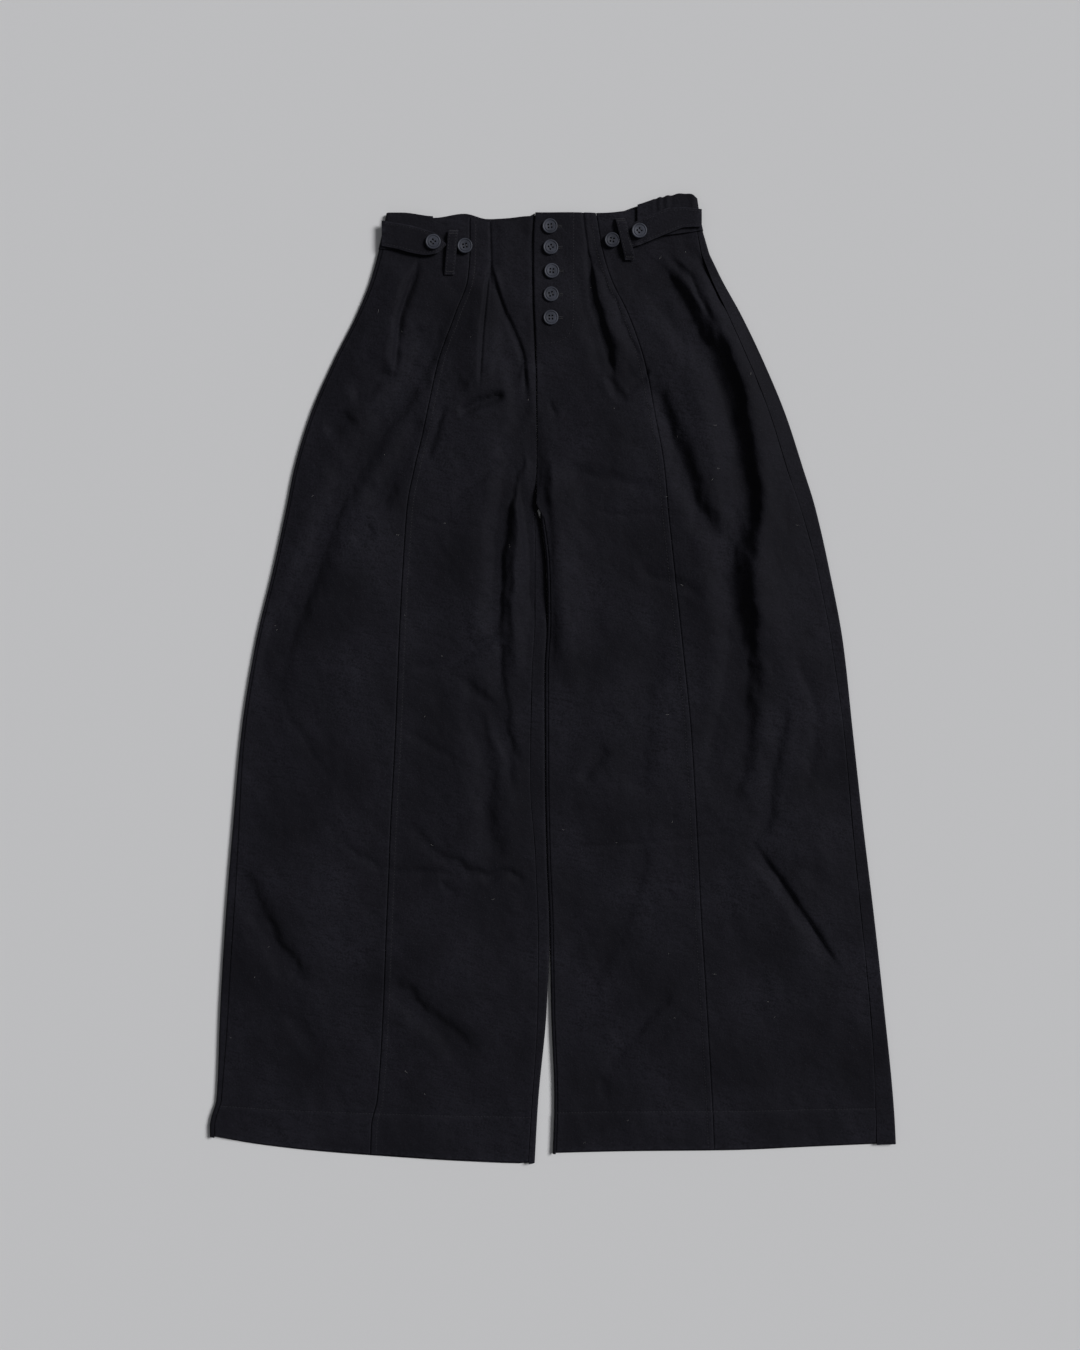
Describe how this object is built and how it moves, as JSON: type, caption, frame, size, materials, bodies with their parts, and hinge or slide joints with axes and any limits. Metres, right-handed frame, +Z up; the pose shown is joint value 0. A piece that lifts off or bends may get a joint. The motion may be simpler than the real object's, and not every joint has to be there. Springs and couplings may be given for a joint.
{
  "type": "wide-leg trousers laid flat",
  "caption": "Black wide-leg trousers laid flat, with a high waist, a front button fly, pleated darts, side tabs and long princess seams.",
  "frame": {"origin": "centre of the bounding box at its lowest height, where the back lies on the ground", "axes": "+X across to the wearer's left, +Y up the trousers to the waist, +Z up from the ground through the front"},
  "size_m": [0.7533, 1.0638, 0.0207],
  "materials": {
    "cloth": "matte black twill",
    "buttons": "satin dark grey-blue"
  },
  "bodies": {
    "root": {"front_side_R": "cloth", "front_centre_R": "cloth", "front_centre_L": "cloth", "front_side_L": "cloth", "back_R": "cloth", "back_L": "cloth", "waistband_back": "cloth", "fly_underlap": "cloth", "tab_R": "cloth", "tab_L": "cloth", "belt_loop_R": "cloth", "belt_loop_L": "cloth", "fly_button_1": "buttons", "fly_button_2": "buttons", "fly_button_3": "buttons", "fly_button_4": "buttons", "fly_button_5": "buttons", "tab_button_R": "buttons", "side_button_R": "buttons", "side_button_L": "buttons", "tab_button_L": "buttons"}
  },
  "joints": []
}
